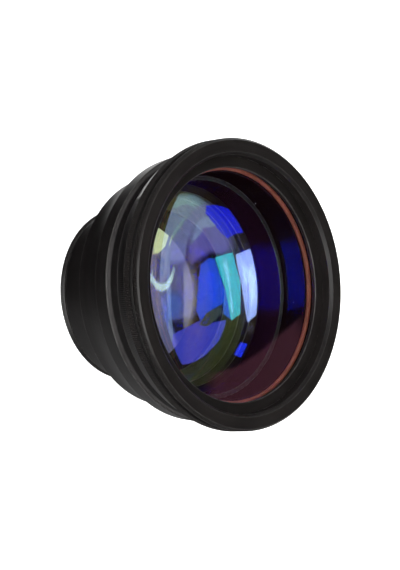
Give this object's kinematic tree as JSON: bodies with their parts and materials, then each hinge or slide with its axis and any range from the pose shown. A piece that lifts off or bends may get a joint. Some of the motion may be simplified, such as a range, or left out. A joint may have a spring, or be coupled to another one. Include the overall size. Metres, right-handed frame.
{
  "type": "f-theta scan lens",
  "caption": "Large f-theta scan lens: stacked coated elements in a black anodised barrel with knurled front rings, a sealed flat window in a recess, and a threaded rear neck.",
  "frame": {"origin": "on the optical axis, in the plane of the rear end that the lens stands on", "axes": "+Z along the optical axis, out of the protective window; the index notch lies between -X and -Y"},
  "size_m": [0.138, 0.138, 0.0835],
  "materials": {
    "barrel_black": "black anodised, fine turned satin",
    "ring_black": "black anodised satin with fine straight knurl",
    "inner_black": "black anodised, low sheen",
    "screw_steel": "blackened steel",
    "seal_orange": "orange silicone, satin",
    "seal_black": "black rubber, matte",
    "window_glass": "polished, magenta anti-reflection coating",
    "lens_blue": "polished, blue anti-reflection coating",
    "lens_teal": "polished, teal anti-reflection coating",
    "lens_violet": "polished, violet anti-reflection coating"
  },
  "bodies": {
    "root": {"rear_barrel": "barrel_black", "front_barrel": "barrel_black", "index_ring": "ring_black", "lock_screw": "screw_steel", "window_cell": "ring_black", "window_retaining_ring": "ring_black", "protective_window": "window_glass", "window_seal": "seal_orange", "cell_seal": "seal_black", "barrel_seal": "seal_black", "front_lens_retainer": "inner_black", "front_lens_cushion": "seal_black", "front_lens": "lens_blue", "front_spacer": "inner_black", "second_lens": "lens_teal", "third_lens": "lens_violet", "rear_spacer": "inner_black", "rear_lens": "lens_blue", "rear_retaining_ring": "inner_black"}
  },
  "joints": []
}
